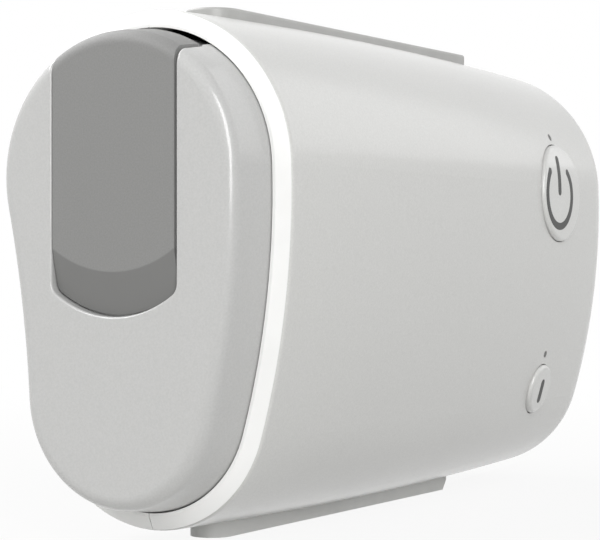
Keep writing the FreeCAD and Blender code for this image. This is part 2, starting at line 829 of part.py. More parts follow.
def finger_scoop():
    """What the scoop takes off the door: under an arc its face slopes in, down to its foot."""
    slab = block("scoop_slab",
                 ("near_face - door_thickness", "door_y - door_width", "door_low - door_gap"),
                 ("door_thickness * 2", "door_width * 2", "door_length / 4"))
    cone = doc.addObject("Part::Cone", "scoop_cone")
    cone.Placement = Placement(Vector(), AXES["X"])
    bind(cone, Radius1="scoop_radius - door_thickness / scoop_slope",
         Radius2="scoop_radius + door_thickness / scoop_slope", Height="door_thickness * 2")
    place(cone, "near_face - door_thickness", "door_y", "door_low + scoop_rise + scoop_radius")
    return cut("scoop", slab, cone)


def filter_frame():
    """Tray that holds the filter pad, with a barred rear."""
    body = new_body("filter_frame")
    centre_z = "(filter_top + filter_low) / 2"
    start = "near_face + cap_wall + fit_gap"
    depth = "filter_front + filter_thickness - (%s) + fit_gap + grille_bar" % start
    tray = rectangle(body_sketch(body, "tray", "X", start, "parting", centre_z),
                     "filter_width + 2 * frame_wall + 2 * fit_gap",
                     "filter_height + 2 * frame_wall + 2 * fit_gap")
    pad(body, tray, depth)
    hollow = rectangle(body_sketch(body, "tray_hollow", "X", start, "parting", centre_z),
                       "filter_width + 2 * fit_gap", "filter_height + 2 * fit_gap")
    pocket(body, hollow, "(%s) - grille_bar" % depth)
    gap = "(filter_height - (grille_count + 1) * grille_bar) / grille_count"
    first = "filter_low + grille_bar + (%s) / 2" % gap
    opening = rectangle(body_sketch(body, "tray_opening", "X", start, "parting", first),
                        "filter_width - 2 * grille_bar", gap)
    feature = pocket(body, opening, "(%s) + grille_bar" % depth)
    doc.recompute()
    pattern = body.newObject("PartDesign::LinearPattern", "tray_openings")
    pattern.Originals = [feature]
    pattern.Direction = (opening, ["V_Axis"])
    bind(pattern, Length="((%s) + grille_bar) * (grille_count - 1)" % gap, Occurrences="grille_count")
    body.Tip = pattern
    return body


def air_filter():
    return block("air_filter", ("filter_front", "parting - filter_width / 2", "filter_low"),
                 ("filter_thickness", "filter_width", "filter_height"))


# --- buttons, lamps and board ------------------------------------------------------------

def button(name, z, lamp_z, proud):
    """Round button that follows the housing, with a flange behind it and a stem.

    The flange is notched where the lamp's light pipe passes it.
    """
    radius = "%s_button_radius" % name
    seat = "parting - %s_seat + button_gap / 2" % name
    reach = "top_front_radius * 2"
    sharp = common(name + "_sharp",
                   rod(name + "_cap_rod", "Y", ("button_x", "(%s) - %s" % (seat, reach), z),
                       radius, reach), proud)
    back, edge_radius = value(seat), value("button_edge_radius")

    def front_edge(edge):
        return edge_radius if edge.BoundBox.YMax < back - SAME else 0

    face = round_edges(name + "_face", sharp, front_edge)
    disc = rod(name + "_disc", "Y", ("button_x", seat, z),
               radius + " + flange_width", "flange_thickness")
    reach_round = "lamp_radius + lamp_clearance"
    notch = block(name + "_notch",
                  ("button_x - (%s)" % reach_round, "(%s) - flange_thickness" % seat,
                   "%s - (%s)" % (lamp_z, reach_round)),
                  ("2 * (%s)" % reach_round, "3 * flange_thickness", "flange_width * 3"))
    flange = cut(name + "_flange", disc, notch)
    stem_end = "board_y - %s_switch_height - plunger_proud" % name
    stem = rod(name + "_stem", "Y", ("button_x", seat, z), "stem_radius",
               "(%s) - (%s)" % (stem_end, seat))
    return join(name + "_button", face, flange, stem)


def switch(name, z):
    """Tact switch on the board, and the plunger that the button pushes."""
    height = "%s_switch_height" % name
    body = new_body(name + "_switch")
    front = "board_y - " + height
    case = rectangle(body_sketch(body, name + "_case", "Y", "button_x", "board_y", z),
                     "switch_width", "switch_width")
    pad(body, case, height)
    bore = rounds(body_sketch(body, name + "_bore", "Y", "button_x", front, z),
                  "plunger_radius + plunger_gap")
    pocket(body, bore, "plunger_depth + button_travel + button_gap", back=True)
    plunger = rod(name + "_plunger", "Y", ("button_x", front + " - plunger_proud", z),
                  "plunger_radius", "plunger_proud + plunger_depth")
    return body, plunger


def lamp(name, z, outer):
    """Light pipe from the skin of the housing to its light source on the board."""
    rear = "board_y - led_height - plunger_gap"
    reach = "top_front_radius * 2"
    pipe = common(name + "_pipe", outer,
                  rod(name + "_rod", "Y", ("button_x", "(%s) - %s" % (rear, reach), z),
                      "lamp_radius", reach))
    flange = rod(name + "_flange", "Y", ("button_x", rear + " - flange_thickness", z),
                 "lamp_flange_radius", "flange_thickness")
    source = block(name + "_led",
                   ("button_x - led_width / 2", "board_y - led_height", "%s - led_width / 2" % z),
                   ("led_width", "led_height", "led_width"))
    return join(name, pipe, flange), source


def main_board():
    """Circuit board behind the front shell."""
    body = new_body("main_board")
    middle = ("board_end - board_length / 2", "board_y", "board_low + board_height / 2")
    plate = rectangle(body_sketch(body, "board_plate", "Y", *middle), "board_length", "board_height")
    pad(body, plate, "board_thickness", back=True)
    for index, (x, z) in enumerate(board_holes(), start=1):
        hole = rounds(body_sketch(body, "board_hole_%d" % index, "Y", x, "board_y", z),
                      "screw_radius + fit_gap")
        pocket(body, hole, "board_thickness", back=True)
    return body


def board_components():
    """Processor, drivers, capacitors and plugs on the board's rear."""
    rear = "board_y + board_thickness"
    solids = [
        block(name, ("board_end - board_length + %s_inset" % name, rear,
                     "board_low + %s_rise" % name),
              (name + "_width", name + "_thickness", name + "_height"))
        for name in CHIPS
    ]
    for step in CAPACITOR_STEPS:
        start = ("board_end - capacitor_setback", rear,
                 "board_low + capacitor_rise + %s * capacitor_pitch" % step)
        solids.append(rod("capacitor_" + step, "Y", start, "capacitor_radius", "capacitor_height"))
    return join("board_components", *solids)


def board_screws():
    """Pan-head screws from the board's rear into the shell's bosses."""
    rear = "board_y + board_thickness"
    solids = []
    for index, (x, z) in enumerate(board_holes(), start=1):
        shank = rod("screw_shank_%d" % index, "Y", (x, "board_y - screw_length + fit_gap", z),
                    "screw_radius - fit_gap / 2", "screw_length + board_thickness - fit_gap")
        head = rod("screw_head_%d" % index, "Y", (x, rear, z), "screw_head_radius",
                   "screw_head_height")
        solids.append(join("screw_%d" % index, shank, head))
    return join("board_screws", *solids)


# --- outlet end --------------------------------------------------------------------------

def outlet_end():
    """Plate that closes the far end: its upper part holds the air port, its panel the socket."""
    plate = bean_bar("end_plate", "end_face - end_plate_thickness", "end_face",
                     "end_inset + fit_gap")
    flange = bean_bar("end_flange_bar", "end_seat - end_flange", "end_seat",
                      "far_crown + far_edge_radius + fit_gap")
    port = rod("port_place", "X", ("port_end", "parting", "axis_z"),
               "port_radius + port_wall", "port_depth * 2")
    socket = block("socket_place",
                   ("end_face - socket_depth", "parting - socket_width / 2",
                    "socket_z - socket_height / 2"),
                   ("socket_depth * 2", "socket_width", "socket_height"))
    whole = cut("end_whole", join("end_solid", plate, flange), port, socket)
    split = "socket_z + socket_height / 2"

    def below(name, top):
        return block(name, ("port_end", "parting - top_rear_radius", "0"),
                     ("port_depth * 2", "top_rear_radius * 2", top))

    return (cut("outlet_end", whole, below("end_low", split + " + seam_gap")),
            common("socket_panel", whole, below("panel_low", split)))


def outlet_port():
    """Socket for the air tube, with a step inside and a nipple for the inner hose."""
    body = new_body("outlet_port")
    outer = "port_radius + port_wall"
    bore = "hose_radius - port_wall"
    step = "nipple_length + port_step"
    turned(body, "port", "port_end - nipple_length", [
        ("0", bore),
        (step, bore),
        (step, "port_radius"),
        ("%s + port_depth" % step, "port_radius"),
        ("%s + port_depth" % step, outer),
        ("nipple_length", outer),
        ("nipple_length", "hose_radius - fit_gap / 2"),
        ("0", "hose_radius - fit_gap / 2"),
    ])
    return body


def power_socket():
    """Inlet for the power lead: a box with an open mouth."""
    body = new_body("power_socket")
    case = rectangle(body_sketch(body, "socket_case", "X", "end_face - socket_depth", "parting",
                                 "socket_z"), "socket_width", "socket_height")
    pad(body, case, "socket_depth")
    mouth = rectangle(body_sketch(body, "socket_mouth", "X", "end_face", "parting", "socket_z"),
                      "socket_width - 2 * socket_wall", "socket_height - 2 * socket_wall")
    pocket(body, mouth, "socket_depth - socket_floor", back=True)
    return body


def power_contacts():
    """Three contact blades along the socket's lower wall."""
    solids = []
    for index, step in enumerate(("-1", "0", "1"), start=1):
        solids.append(block("contact_%d" % index,
                            ("end_face - socket_depth + socket_floor",
                             "parting + %s * contact_spacing - contact_width / 2" % step,
                             "socket_z - socket_height / 2 + socket_wall"),
                            ("socket_depth - 2 * socket_floor", "contact_width",
                             "contact_thickness")))
    return join("power_contacts", *solids)


def outlet_hose():
    """Soft hose from the blower's stub to the port: two bends between straight ends."""
    start = Vector(value("scroll_end + stub_length - nipple_length"), value("stub_y"), value("stub_z"))
    end = Vector(value("port_end"), value("parting"), value("axis_z"))
    first_run = value("motor_end + hose_radius + hose_wall") - start.x
    last_run = value("nipple_length + hose_radius * 1.5")
    bend = value("hose_radius * 2")
    corners = [start, start + Vector(first_run, 0, 0), end - Vector(last_run, 0, 0), end]
    pieces, last = [], start
    for index in (1, 2):
        into = (corners[index] - corners[index - 1]).normalize()
        out = (corners[index + 1] - corners[index]).normalize()
        turn = into.getAngle(out)
        trim = bend * math.tan(turn / 2)
        first, second = corners[index] - into * trim, corners[index] + out * trim
        centre_way = (out - into).normalize()
        middle = corners[index] + centre_way * (bend / math.cos(turn / 2) - bend)
        pieces.append(Part.LineSegment(last, first).toShape())
        pieces.append(Part.Arc(first, middle, second).toShape())
        last = second
    pieces.append(Part.LineSegment(last, end).toShape())
    path = Part.Wire(pieces)

    def tube(radius):
        circle = Part.Wire(Part.makeCircle(radius, start, Vector(1, 0, 0)))
        return path.makePipeShell([circle], True, True)

    hose = doc.addObject("Part::Feature", "outlet_hose")
    hose.Shape = tube(value("hose_radius + hose_wall")).cut(tube(value("hose_radius")))
    return hose


# --- blower ------------------------------------------------------------------------------

def scroll_sketch(body, name):
    """Spiral of four quarter arcs that opens into a channel going down on the rear side."""
    r, e = "scroll_radius", "scroll_step"
    left, right = "stub_side - channel_half_width", "stub_side + channel_half_width"
    foot = "-(stub_drop + channel_half_width)"
    return outline(body_sketch(body, name, "X", "split_x", "parting", "axis_z"), [
        ("-%s / 2 + %s + 4 * %s" % (e, r, e), "-%s / 2" % e, "%s + 3 * %s" % (r, e), -1),
        (right, "-stub_drop"),
        (right, foot),
        (left, foot),
        (left, "-%s / 2 - sqrt(%s^2 - (%s + %s / 2)^2)" % (e, r, left, e)),
        ("-%s / 2" % e, "-%s / 2 - %s" % (e, r), r, -1),
        ("-%s / 2 - %s - %s" % (e, r, e), "%s / 2" % e, "%s + %s" % (r, e), -1),
        ("%s / 2" % e, "%s / 2 + %s + 2 * %s" % (e, r, e), "%s + 2 * %s" % (r, e), -1),
    ])


def hollow_out(body, feature, x):
    """Thin-walled from the face that lies at x."""
    doc.recompute()
    name = next("Face%d" % index for index, face in enumerate(feature.Shape.Faces, start=1)
                if face.BoundBox.XLength < SAME and abs(face.BoundBox.XMin - x) < SAME)
    wall = body.newObject("PartDesign::Thickness", feature.Name + "_wall")
    wall.Base = (feature, [name])
    wall.Reversed = True
    wall.Join = 1
    return bind(wall, Value="scroll_wall")


def blower_scroll_front():
    """Inlet half of the blower's housing, with the eye."""
    body = new_body("blower_scroll_front")
    feature = pad(body, scroll_sketch(body, "front_scroll"), "scroll_front_depth", back=True)
    hollow_out(body, feature, value("split_x"))
    collar = rounds(body_sketch(body, "eye_collar_ring", "X", "blower_x + scroll_wall", "parting",
                                "axis_z"), "eye_radius + eye_collar")
    pad(body, collar, "eye_collar_length + scroll_wall", back=True)
    eye = rounds(body_sketch(body, "eye_hole", "X", "split_x", "parting", "axis_z"), "eye_radius")
    pocket(body, eye, "scroll_front_depth + eye_collar_length + scroll_wall", back=True)
    return body


def blower_scroll_rear():
    """Motor half of the blower's housing, with the bearing seat and the outlet stub."""
    body = new_body("blower_scroll_rear")
    feature = pad(body, scroll_sketch(body, "rear_scroll"), "scroll_rear_depth")
    hollow_out(body, feature, value("split_x"))
    seat = rounds(body_sketch(body, "bearing_boss", "X", "scroll_end - scroll_wall", "parting",
                              "axis_z"), "bearing_radius + bearing_seat_wall")
    pad(body, seat, "scroll_wall + bearing_width")
    place_for = rounds(body_sketch(body, "bearing_place", "X", "scroll_end", "parting", "axis_z"),
                       "bearing_radius")
    pocket(body, place_for, "bearing_width")
    passage = rounds(body_sketch(body, "shaft_passage", "X", "split_x", "parting", "axis_z"),
                     "shaft_radius + air_gap")
    pocket(body, passage, "scroll_rear_depth + bearing_width")
    stub = rounds(body_sketch(body, "stub_ring", "X", "scroll_end - scroll_wall", "stub_y",
                              "stub_z"), "hose_radius - fit_gap / 2")
    pad(body, stub, "stub_length + scroll_wall")
    stub_bore = rounds(body_sketch(body, "stub_bore", "X", "split_x", "stub_y", "stub_z"),
                       "hose_radius - port_wall")
    pocket(body, stub_bore, "scroll_rear_depth + stub_length")
    return body


def impeller():
    """Backward-curved blades on a plate with a hub."""
    body = new_body("impeller")
    depth = "scroll_front_depth + scroll_rear_depth - 2 * scroll_wall - 2 * impeller_clearance"
    turned(body, "wheel", "impeller_back - (%s)" % depth, [
        ("0", "shaft_radius"),
        (depth, "shaft_radius"),
        (depth, "impeller_radius"),
        ("%s - impeller_plate" % depth, "impeller_radius"),
        ("%s - impeller_plate" % depth, "impeller_hub_radius"),
        ("0", "impeller_hub_radius - impeller_plate"),
    ])
    inner, outer, bow = "blade_inner_radius", "impeller_radius", "blade_arc_radius"
    across = outer + " * cos(blade_sweep)"
    sketch = body_sketch(body, "blade", "X", "impeller_back - impeller_plate", "parting", "axis_z")
    outline(sketch, [
        (inner, "0"),
        (across, "-%s * sin(blade_sweep)" % outer, "%s + blade_thickness" % bow, -1),
        (across + " - blade_thickness", "-%s * sin(blade_sweep)" % outer),
        ("%s - blade_thickness" % inner, "0", bow, 1),
    ])
    blade = pad(body, sketch, "blade_front_height + scroll_wall", back=True)
    return around(body, blade, sketch, "blade_count").getParentGeoFeatureGroup()


def turned_part(name, x, corners):
    body = new_body(name)
    turned(body, name + "_profile", x, corners)
    return body


def motor_shaft():
    start = "blower_x + scroll_wall + impeller_clearance"
    end = "motor_end - motor_wall - fit_gap"
    length = "(%s) - (%s)" % (end, start)
    return turned_part("motor_shaft", start, [
        ("0", "0"), (length, "0"), (length, "shaft_radius"), ("0", "shaft_radius")])


def bearing(name, x):
    """Ball bearing as one ring with its bore."""
    return turned_part(name, x, [
        ("0", "shaft_radius + shaft_gap"),
        ("bearing_width", "shaft_radius + shaft_gap"),
        ("bearing_width", "bearing_radius"),
        ("0", "bearing_radius"),
    ])


def motor_can():
    """Cup over the motor, with the rear bearing's seat in its floor."""
    inner, outer = "motor_radius - motor_wall", "motor_radius"
    seat = "bearing_radius + bearing_seat_wall"
    floor_x = "motor_length - motor_wall"
    lip = "%s - bearing_width" % floor_x
    return turned_part("motor_can", "scroll_end", [
        ("0", inner),
        (floor_x, inner),
        (floor_x, seat),
        (lip, seat),
        (lip, "bearing_radius"),
        (floor_x, "bearing_radius"),
        (floor_x, "0"),
        ("motor_length", "0"),
        ("motor_length", outer),
        ("0", outer),
    ])


def rotor_magnet():
    return turned_part("rotor_magnet", "magnet_start", [
        ("0", "shaft_radius"), ("magnet_length", "shaft_radius"),
        ("magnet_length", "magnet_radius"), ("0", "magnet_radius")])


def stator():
    """Laminated ring with teeth, and a coil round each tooth."""
    core = new_body("stator_core")
    outer = "motor_radius - motor_wall"
    inner = "magnet_radius + air_gap"
    ring = rounds(body_sketch(core, "yoke", "X", "magnet_start", "parting", "axis_z"),
                  outer, outer + " - stator_yoke")
    pad(core, ring, "magnet_length")
    tooth_sketch = body_sketch(core, "tooth", "X", "magnet_start", "parting", "axis_z")
    outline(tooth_sketch, [
        (inner, "-tooth_width / 2"), (outer + " - stator_yoke / 2", "-tooth_width / 2"),
        (outer + " - stator_yoke / 2", "tooth_width / 2"), (inner, "tooth_width / 2")])
    around(core, pad(core, tooth_sketch, "magnet_length"), tooth_sketch, "tooth_count")
    coils = new_body("stator_windings")
    base = "(%s) + winding_thickness / 2" % inner
    top = outer + " - stator_yoke - winding_thickness / 2"
    wide = "tooth_width / 2 + winding_thickness"
    start = "magnet_start - winding_thickness"
    coil_sketch = body_sketch(coils, "coil", "X", start, "parting", "axis_z")
    outline(coil_sketch, [(base, "-(%s)" % wide), (top, "-(%s)" % wide), (top, wide), (base, wide)])
    coil = pad(coils, coil_sketch, "magnet_length + 2 * winding_thickness")
    doc.recompute()
    window = body_sketch(coils, "coil_window", "X", "magnet_start", "parting", "axis_z")
    outline(window, [(base + " - fit_gap", "-tooth_width / 2"), (top + " + fit_gap", "-tooth_width / 2"),
                     (top + " + fit_gap", "tooth_width / 2"), (base + " - fit_gap", "tooth_width / 2")])
    opening = pocket(coils, window, "magnet_length")
    doc.recompute()
    pattern = coils.newObject("PartDesign::PolarPattern", "coils_round")
    pattern.Originals = [coil, opening]
    pattern.Axis = (coil_sketch, ["N_Axis"])
    pattern.Angle = 360
    bind(pattern, Occurrences="tooth_count")
    coils.Tip = pattern
    return core, coils


def soft_ring(name, x, inner):
    """Silicone ring that carries the blower."""
    return turned_part(name, x, [
        ("0", inner), ("mount_length", inner),
        ("mount_length", inner + " + mount_width"), ("0", inner + " + mount_width")])


# --- silencer ----------------------------------------------------------------------------

def bulkhead():
    """Wall across the housing that carries the blower's front mount."""
    wall = bean_bar("bulkhead_bar", "bulkhead_x", "bulkhead_x + bulkhead_thickness",
                    "inner_near + fit_gap")
    ring = rod("bulkhead_ring", "X", ("bulkhead_x", "parting", "axis_z"),
               "eye_radius + eye_collar + mount_width + cradle_wall", "mount_length")
    bore = rod("bulkhead_bore", "X", ("bulkhead_x - bulkhead_thickness", "parting", "axis_z"),
               "eye_radius + eye_collar + mount_width", "mount_length * 2")
    return cut("inlet_bulkhead", join("bulkhead_solid", wall, ring), bore)


def inlet_foam():
    """Open-cell foam in front of the bulkhead, with the air passage through it."""
    bar = bean_bar("foam_bar", "bulkhead_x - foam_length", "bulkhead_x - foam_gap",
                   "inner_near + foam_gap")
    bore = rod("foam_passage", "X", ("bulkhead_x - foam_length * 2", "parting", "axis_z"),
               "foam_bore", "foam_length * 3")
    return cut("inlet_foam", bar, bore)


# --- whole machine -----------------------------------------------------------------------

def build():
    """All sub-parts, by node name."""
    outer, skin = housing_blanks()
    rail_parts = rails()
    pieces = {"top_rail": rail_parts[0], "bottom_rail": rail_parts[1]}
    pieces["front_shell"] = front_shell(outer, skin, rail_parts)
    pieces["rear_shell"] = rear_shell(outer, skin, rail_parts)
    pieces["front_rim"], pieces["rear_rim"] = rims()
    face, edge_radius = value("near_face"), value("cap_edge_radius")
    form = round_edges("cap_form", cap_form("cap_sharp", "near_face", "0"),
                       lambda edge: edge_radius if at_x(edge, face) else 0)
    pieces["end_cap"] = end_cap(form)
    pieces["filter_door"] = filter_door(form)
    pieces["filter_frame"] = filter_frame()
    pieces["air_filter"] = air_filter()
    proud = housing_form("button_skin", "shell_start", "far_face", "-button_proud")
    for name, z, lamp_z in BUTTONS:
        pieces[name + "_button"] = button(name, z, lamp_z, proud)
        pieces[name + "_switch"], pieces[name + "_plunger"] = switch(name, z)
    for name, z in LAMPS:
        pieces[name], pieces[name + "_led"] = lamp(name, z, outer)
    pieces["main_board"] = main_board()
    pieces["board_components"] = board_components()
    pieces["board_screws"] = board_screws()
    pieces["outlet_end"], pieces["socket_panel"] = outlet_end()
    pieces["outlet_port"] = outlet_port()
    pieces["outlet_hose"] = outlet_hose()
    pieces["power_socket"] = power_socket()
    pieces["power_contacts"] = power_contacts()
    pieces["blower_scroll_front"] = blower_scroll_front()
    pieces["blower_scroll_rear"] = blower_scroll_rear()
    pieces["impeller"] = impeller()
    pieces["motor_shaft"] = motor_shaft()
    pieces["front_bearing"] = bearing("front_bearing", "scroll_end")
    pieces["rear_bearing"] = bearing("rear_bearing", "motor_end - motor_wall - bearing_width")
    pieces["motor_can"] = motor_can()
    pieces["rotor_magnet"] = rotor_magnet()
    pieces["stator_core"], pieces["stator_windings"] = stator()
    pieces["front_mount"] = soft_ring("front_mount", "bulkhead_x", "eye_radius + eye_collar")
    pieces["rear_mount"] = soft_ring("rear_mount", "motor_end - mount_length", "motor_radius")
    pieces["inlet_bulkhead"] = bulkhead()
    pieces["inlet_foam"] = inlet_foam()
    return pieces


def check(pieces):
    """Stop if a feature failed or a sub-part has no valid shape."""
    failed = [item.Name for item in doc.Objects if {"Invalid", "Error"} & set(item.State)]
    failed += [
        name for name, item in pieces.items()
        if item.Shape.isNull() or not item.Shape.isValid() or not item.Shape.Solids
    ]
    if failed:
        raise RuntimeError("these did not build: " + ", ".join(failed))


parts = build()
doc.recompute()
check(parts)
os.makedirs("parts", exist_ok=True)
for node, part in parts.items():
    part.Label = node
    part.Shape.exportStep("parts/%s.step" % node)
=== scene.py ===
"""Looks of the travel CPAP machine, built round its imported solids.  Metres; +Z is up."""
import json
import math

import bpy
import numpy as np
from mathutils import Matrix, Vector


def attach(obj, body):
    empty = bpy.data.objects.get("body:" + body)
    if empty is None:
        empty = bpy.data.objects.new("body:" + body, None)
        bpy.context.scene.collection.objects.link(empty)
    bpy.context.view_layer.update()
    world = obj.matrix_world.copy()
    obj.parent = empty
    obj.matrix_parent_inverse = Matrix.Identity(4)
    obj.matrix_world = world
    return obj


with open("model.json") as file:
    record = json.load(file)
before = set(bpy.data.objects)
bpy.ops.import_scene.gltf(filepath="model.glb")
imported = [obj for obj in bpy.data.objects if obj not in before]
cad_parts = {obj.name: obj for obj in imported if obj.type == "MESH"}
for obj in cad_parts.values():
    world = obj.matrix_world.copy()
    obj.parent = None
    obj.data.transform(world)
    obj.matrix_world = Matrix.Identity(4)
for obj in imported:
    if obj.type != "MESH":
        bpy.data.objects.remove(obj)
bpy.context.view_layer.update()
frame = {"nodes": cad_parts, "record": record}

MM = 0.001


# --- colours and nodes -------------------------------------------------------------------

def linear(text):
    """sRGB hex text as a linear colour, by the two stretches of the standard sRGB curve."""
    channels = np.array([int(text[index:index + 2], 16) for index in (0, 2, 4)]) / 255
    dark, bright = channels / 12.92, ((channels + 0.055) / 1.055) ** 2.4
    return (*np.where(channels <= 0.04045, dark, bright).tolist(), 1.0)


def add(tree, kind, links=None, **settings):
    """Add a node, set its properties, and set or link its inputs, named or numbered."""
    made = tree.nodes.new(kind)
    for name, setting in settings.items():
        setattr(made, name, setting)
    for name, source in (links or {}).items():
        if isinstance(source, bpy.types.NodeSocket):
            tree.links.new(source, made.inputs[name])
        else:
            made.inputs[name].default_value = source
    return made


def per(millimetres):
    """Texture scale at which one cell of the pattern is that long."""
    return 1 / (millimetres * MM)


def new_material(name):
    """Material with its shader, its tree and the Object coordinates that patterns read."""
    made = bpy.data.materials.new(name)
    made.use_nodes = True
    tree = made.node_tree
    tree.nodes.clear()
    shader = add(tree, "ShaderNodeBsdfPrincipled")
    add(tree, "ShaderNodeOutputMaterial", {"Surface": shader.outputs[0]})
    place = add(tree, "ShaderNodeTexCoord").outputs["Object"]
    return made, tree, shader, place


def blend_of(tree, shader, pattern, dark, light, low=0.3, high=0.7):
    """Base colour between two hex colours where the pattern goes from low to high."""
    ramp = add(tree, "ShaderNodeMapRange", {"Value": pattern, "From Min": low, "From Max": high})
    # the colour inputs of a Mix node are its seventh and eighth, the result its third output
    mix = add(tree, "ShaderNodeMix", {0: ramp.outputs[0], 6: linear(dark), 7: linear(light)},
              data_type="RGBA")
    tree.links.new(mix.outputs[2], shader.inputs["Base Color"])
    return mix.outputs[2]


def grain(tree, shader, height, depth):
    """Surface relief: depth is in millimetres."""
    bump = add(tree, "ShaderNodeBump", {"Height": height, "Distance": depth * MM, "Strength": 1.0})
    tree.links.new(bump.outputs[0], shader.inputs["Normal"])


def roughness(tree, shader, pattern, between):
    """Roughness between two values, where the pattern goes from 0 to 1."""
    low, high = between
    spread = add(tree, "ShaderNodeMapRange", {"Value": pattern, "To Min": low, "To Max": high})
    tree.links.new(spread.outputs[0], shader.inputs["Roughness"])


# --- finishes ----------------------------------------------------------------------------

def painted_abs(name, dark, light, paint=(0.42, 0.51), lacquer=0.85, haze=0.2):
    """ABS sprayed silver-grey under a satin lacquer: fine flake, and a close sheen over it.

    The roughness of the paint is a pair, that of the lacquer is haze.
    """
    made, tree, shader, place = new_material(name)
    # flake is under 0.05 mm on the real one; drawn at 0.3 mm so that it shows at all
    flake = add(tree, "ShaderNodeTexNoise", {"Vector": place, "Scale": per(0.3), "Detail": 2.0})
    cloud = add(tree, "ShaderNodeTexNoise", {"Vector": place, "Scale": per(28), "Detail": 1.0})
    eroded = add(tree, "ShaderNodeTexNoise", {"Vector": place, "Scale": per(0.22), "Detail": 3.0})
    blend_of(tree, shader, flake.outputs[0], dark, light)
    roughness(tree, shader, cloud.outputs[0], paint)
    grain(tree, shader, eroded.outputs[0], 0.003)
    shader.inputs["IOR"].default_value = 1.46
    shader.inputs["Coat Weight"].default_value = lacquer
    shader.inputs["Coat IOR"].default_value = 1.5
    shader.inputs["Coat Roughness"].default_value = haze
    return made


def gloss_white():
    """White ABS, moulded in a polished tool: even and bright, with a close highlight."""
    made, tree, shader, place = new_material("white_abs_polished")
    cloud = add(tree, "ShaderNodeTexNoise", {"Vector": place, "Scale": per(9), "Detail": 2.0})
    blend_of(tree, shader, cloud.outputs[0], "EEEEED", "F3F3F2")
    roughness(tree, shader, cloud.outputs[0], (0.20, 0.28))
    shader.inputs["IOR"].default_value = 1.53
    return made


SCOOP_MIDDLE = (0.15 * MM, 61.5 * MM)       # centre of the scoop's arc on the door, as (y, z)
SCOOP_RADIUS = 19.3 * MM
SCOOP_SOFT = 0.25 * MM                      # half the width over which its edge runs out
BEYOND = 1.0                                # metres, further out than any point of the machine


def grey_abs():
    """Mid-grey ABS with a fine matt spark finish, with painted shade that makes it darker in the
    scoop.
    """
    made, tree, shader, place = new_material("grey_abs_spark")
    spark = add(tree, "ShaderNodeTexNoise", {"Vector": place, "Scale": per(0.25), "Detail": 4.0})
    cloud = add(tree, "ShaderNodeTexNoise", {"Vector": place, "Scale": per(14), "Detail": 2.0})
    even = blend_of(tree, shader, spark.outputs[0], "7D7D7C", "858584")
    # distance from the arc's centre, with no part along X and none above the centre
    below = add(tree, "ShaderNodeVectorMath", {0: place, 1: (BEYOND, BEYOND, SCOOP_MIDDLE[1])},
                operation="MINIMUM")
    across = add(tree, "ShaderNodeVectorMath", {0: below.outputs[0], 1: (0, 1, 1)},
                 operation="MULTIPLY")
    away = add(tree, "ShaderNodeVectorMath", {0: across.outputs[0], 1: (0, *SCOOP_MIDDLE)},
               operation="DISTANCE")
    # painted shade mask: 0 inside the scoop's arc, rising to 1 below it
    scoop_shade_mask = add(tree, "ShaderNodeMapRange", {"Value": away.outputs["Value"],
                                               "From Min": SCOOP_RADIUS - SCOOP_SOFT,
                                               "From Max": SCOOP_RADIUS + SCOOP_SOFT},
                  interpolation_type="SMOOTHSTEP")
    # painted shade: the door is drawn darker in the scoop, below the arc
    scoop_shade = add(tree, "ShaderNodeMix", {0: scoop_shade_mask.outputs[0], 6: even, 7: linear("757574")},
               data_type="RGBA")
    tree.links.new(scoop_shade.outputs[2], shader.inputs["Base Color"])
    roughness(tree, shader, cloud.outputs[0], (0.5, 0.6))
    grain(tree, shader, spark.outputs[0], 0.006)
    shader.inputs["IOR"].default_value = 1.46
    return made


def soft_touch(name, dark, light):
    """Thermoplastic elastomer of the grip strips: satin, with a faint sheen at low angles."""
    made, tree, shader, place = new_material(name)
    skin = add(tree, "ShaderNodeTexVoronoi", {"Vector": place, "Scale": per(0.45)})
    dust = add(tree, "ShaderNodeTexNoise", {"Vector": place, "Scale": per(6), "Detail": 5.0})
    blend_of(tree, shader, dust.outputs[0], dark, light)
    roughness(tree, shader, dust.outputs[0], (0.34, 0.44))
    grain(tree, shader, skin.outputs[0], 0.006)
    shader.inputs["Sheen Weight"].default_value = 0.1
    return made


def smoked_lens():
    """Smoked polycarbonate light pipe: near black until it is lit."""
    made, tree, shader, place = new_material("polycarbonate_smoked")
    haze = add(tree, "ShaderNodeTexNoise", {"Vector": place, "Scale": per(0.6), "Detail": 1.0})
    blend_of(tree, shader, haze.outputs[0], "2C2C2A", "3A3A37")
    roughness(tree, shader, haze.outputs[0], (0.12, 0.2))
    shader.inputs["IOR"].default_value = 1.58
    return made


def clear_epoxy():
    """Clear epoxy of a light source: a pale, wet-looking chip."""
    made, tree, shader, place = new_material("epoxy_clear")
    fill = add(tree, "ShaderNodeTexNoise", {"Vector": place, "Scale": per(0.5), "Detail": 1.0})
    blend_of(tree, shader, fill.outputs[0], "D9D4B8", "EFEBD6")
    roughness(tree, shader, fill.outputs[0], (0.05, 0.12))
    shader.inputs["Transmission Weight"].default_value = 0.3
    return made


def plain_moulding(name, dark, light, rough, cell=0.4):
    """Moulded technical plastic: a flow pattern in the colour and a fine eroded skin."""
    made, tree, shader, place = new_material(name)
    flow = add(tree, "ShaderNodeTexNoise", {"Vector": place, "Scale": per(11), "Detail": 4.0,
                                            "Distortion": 0.6})
    skin = add(tree, "ShaderNodeTexNoise", {"Vector": place, "Scale": per(cell), "Detail": 3.0})
    blend_of(tree, shader, flow.outputs[0], dark, light)
    roughness(tree, shader, skin.outputs[0], rough)
    grain(tree, shader, skin.outputs[0], 0.006)
    return made


